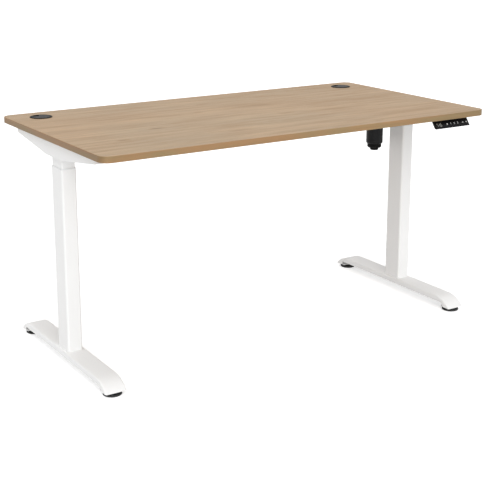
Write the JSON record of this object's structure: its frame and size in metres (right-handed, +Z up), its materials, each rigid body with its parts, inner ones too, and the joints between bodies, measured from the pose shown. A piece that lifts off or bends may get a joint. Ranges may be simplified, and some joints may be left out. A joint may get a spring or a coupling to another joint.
{
  "type": "height adjustable standing desk",
  "caption": "Electric height adjustable desk: wood-finish top on telescopic steel columns with curved feet, one motor, drive shaft, lead screws and a front handset.",
  "frame": {"origin": "on the floor, under the centre of the desktop", "axes": "+X along the desktop's width to the user's right, +Y from the user to the back edge, +Z up"},
  "size_m": [1.4, 0.75, 0.717],
  "materials": {
    "wood_laminate": "pale printed wood grain, satin",
    "edge_band": "wood-coloured plastic edge",
    "white_paint": "fine white powder coat",
    "black_paint": "black satin paint",
    "white_plastic": "moulded",
    "black_plastic": "fine moulded texture",
    "grommet_cap": "fine moulded texture",
    "black_gloss": "smooth front plate",
    "display_gloss": "dark window over the digits",
    "button_plastic": "soft black with white marks",
    "black_rubber": "rubber strip",
    "black_foot": "moulded pad on a zinc stud",
    "nylon": "greased guide shoes",
    "zinc_steel": "zinc plated",
    "bearing_steel": "ground steel",
    "gear_steel": "sintered steel, greased",
    "drive_nut": "machined",
    "cast_case": "die cast"
  },
  "bodies": {
    "base": {"foot_bolts": "zinc_steel", "foot_left": "white_paint", "outer_tube_left": "white_paint", "tube_collar_left": "white_plastic", "nut_tube_left": "zinc_steel", "drive_nut_left": "drive_nut", "foot_right": "white_paint", "outer_tube_right": "white_paint", "tube_collar_right": "white_plastic", "nut_tube_right": "zinc_steel", "drive_nut_right": "drive_nut"},
    "top": {"desktop_board": "wood_laminate", "edge_band": "edge_band", "desk_screws": "zinc_steel", "frame_bolts": "zinc_steel", "tube_glides": "nylon", "frame_pads": "black_rubber", "bearings": "bearing_steel", "motor_gearcase": "black_paint", "motor_can": "black_paint", "motor_end_cap": "black_plastic", "control_box_case": "black_plastic", "control_box_lid": "black_plastic", "handset_case": "black_plastic", "handset_face": "black_gloss", "display_window": "display_gloss", "rail_middle_front": "white_paint", "rail_middle_rear": "white_paint", "grommet_ring_left": "black_plastic", "inner_tube_left": "white_paint", "side_bracket_left": "white_paint", "gear_case_left": "cast_case", "rail_left_front": "white_paint", "rail_left_rear": "white_paint", "grommet_ring_right": "black_plastic", "inner_tube_right": "white_paint", "side_bracket_right": "white_paint", "gear_case_right": "cast_case", "rail_right_front": "white_paint", "rail_right_rear": "white_paint"},
    "drive_shaft": {"hex_shaft": "bearing_steel", "input_bevel_left": "gear_steel", "input_bevel_right": "gear_steel"},
    "lead_screw_left": {"lead_screw_left": "bearing_steel", "output_bevel_left": "gear_steel"},
    "lead_screw_right": {"lead_screw_right": "bearing_steel", "output_bevel_right": "gear_steel"},
    "levelling_foot_front_left": {"levelling_foot_front_left": "black_foot"},
    "levelling_foot_front_right": {"levelling_foot_front_right": "black_foot"},
    "levelling_foot_rear_left": {"levelling_foot_rear_left": "black_foot"},
    "levelling_foot_rear_right": {"levelling_foot_rear_right": "black_foot"},
    "grommet_cap_left": {"grommet_cap_left": "grommet_cap"},
    "grommet_cap_right": {"grommet_cap_right": "grommet_cap"},
    "button_memory": {"button_memory": "button_plastic"},
    "button_1": {"button_1": "button_plastic"},
    "button_2": {"button_2": "button_plastic"},
    "button_3": {"button_3": "button_plastic"},
    "button_up": {"button_up": "button_plastic"},
    "button_down": {"button_down": "button_plastic"}
  },
  "joints": [
    {"name": "lift", "type": "slide", "parent": "base", "child": "top", "axis": [0, 0, 1], "range_m": [0, 0.46]},
    {"name": "shaft_turn", "type": "hinge", "parent": "top", "child": "drive_shaft", "pos_m": [0, -0.007, 0.672], "axis": [1, 0, 0], "continuous": true},
    {"name": "screw_turn_left", "type": "hinge", "parent": "top", "child": "lead_screw_left", "pos_m": [-0.6535, -0.007, 0.4], "axis": [0, 0, 1], "continuous": true},
    {"name": "screw_turn_right", "type": "hinge", "parent": "top", "child": "lead_screw_right", "pos_m": [0.6535, -0.007, 0.4], "axis": [0, 0, 1], "continuous": true},
    {"name": "level_front_left", "type": "slide", "parent": "base", "child": "levelling_foot_front_left", "axis": [0, 0, -1], "range_m": [0, 0.012]},
    {"name": "level_front_right", "type": "slide", "parent": "base", "child": "levelling_foot_front_right", "axis": [0, 0, -1], "range_m": [0, 0.012]},
    {"name": "level_rear_left", "type": "slide", "parent": "base", "child": "levelling_foot_rear_left", "axis": [0, 0, -1], "range_m": [0, 0.012]},
    {"name": "level_rear_right", "type": "slide", "parent": "base", "child": "levelling_foot_rear_right", "axis": [0, 0, -1], "range_m": [0, 0.012]},
    {"name": "cap_turn_left", "type": "hinge", "parent": "top", "child": "grommet_cap_left", "pos_m": [-0.6, 0.285, 0.716], "axis": [0, 0, 1], "continuous": true},
    {"name": "cap_turn_right", "type": "hinge", "parent": "top", "child": "grommet_cap_right", "pos_m": [0.6, 0.285, 0.716], "axis": [0, 0, 1], "continuous": true},
    {"name": "press_memory", "type": "slide", "parent": "top", "child": "button_memory", "axis": [0, 0.806, -0.592], "range_m": [0, 0.0008], "stiffness_N_per_m": 800, "springref_m": -0.002},
    {"name": "press_1", "type": "slide", "parent": "top", "child": "button_1", "axis": [0, 0.806, -0.592], "range_m": [0, 0.0008], "stiffness_N_per_m": 800, "springref_m": -0.002},
    {"name": "press_2", "type": "slide", "parent": "top", "child": "button_2", "axis": [0, 0.806, -0.592], "range_m": [0, 0.0008], "stiffness_N_per_m": 800, "springref_m": -0.002},
    {"name": "press_3", "type": "slide", "parent": "top", "child": "button_3", "axis": [0, 0.806, -0.592], "range_m": [0, 0.0008], "stiffness_N_per_m": 800, "springref_m": -0.002},
    {"name": "press_up", "type": "slide", "parent": "top", "child": "button_up", "axis": [0, 0.806, -0.592], "range_m": [0, 0.0008], "stiffness_N_per_m": 800, "springref_m": -0.002},
    {"name": "press_down", "type": "slide", "parent": "top", "child": "button_down", "axis": [0, 0.806, -0.592], "range_m": [0, 0.0008], "stiffness_N_per_m": 800, "springref_m": -0.002}
  ],
  "couplings": [
    {"joint": "shaft_turn", "follows": "lift", "rad_per_m": 1047.2},
    {"joint": "screw_turn_left", "follows": "lift", "rad_per_m": 1047.2},
    {"joint": "screw_turn_right", "follows": "lift", "rad_per_m": -1047.2}
  ]
}
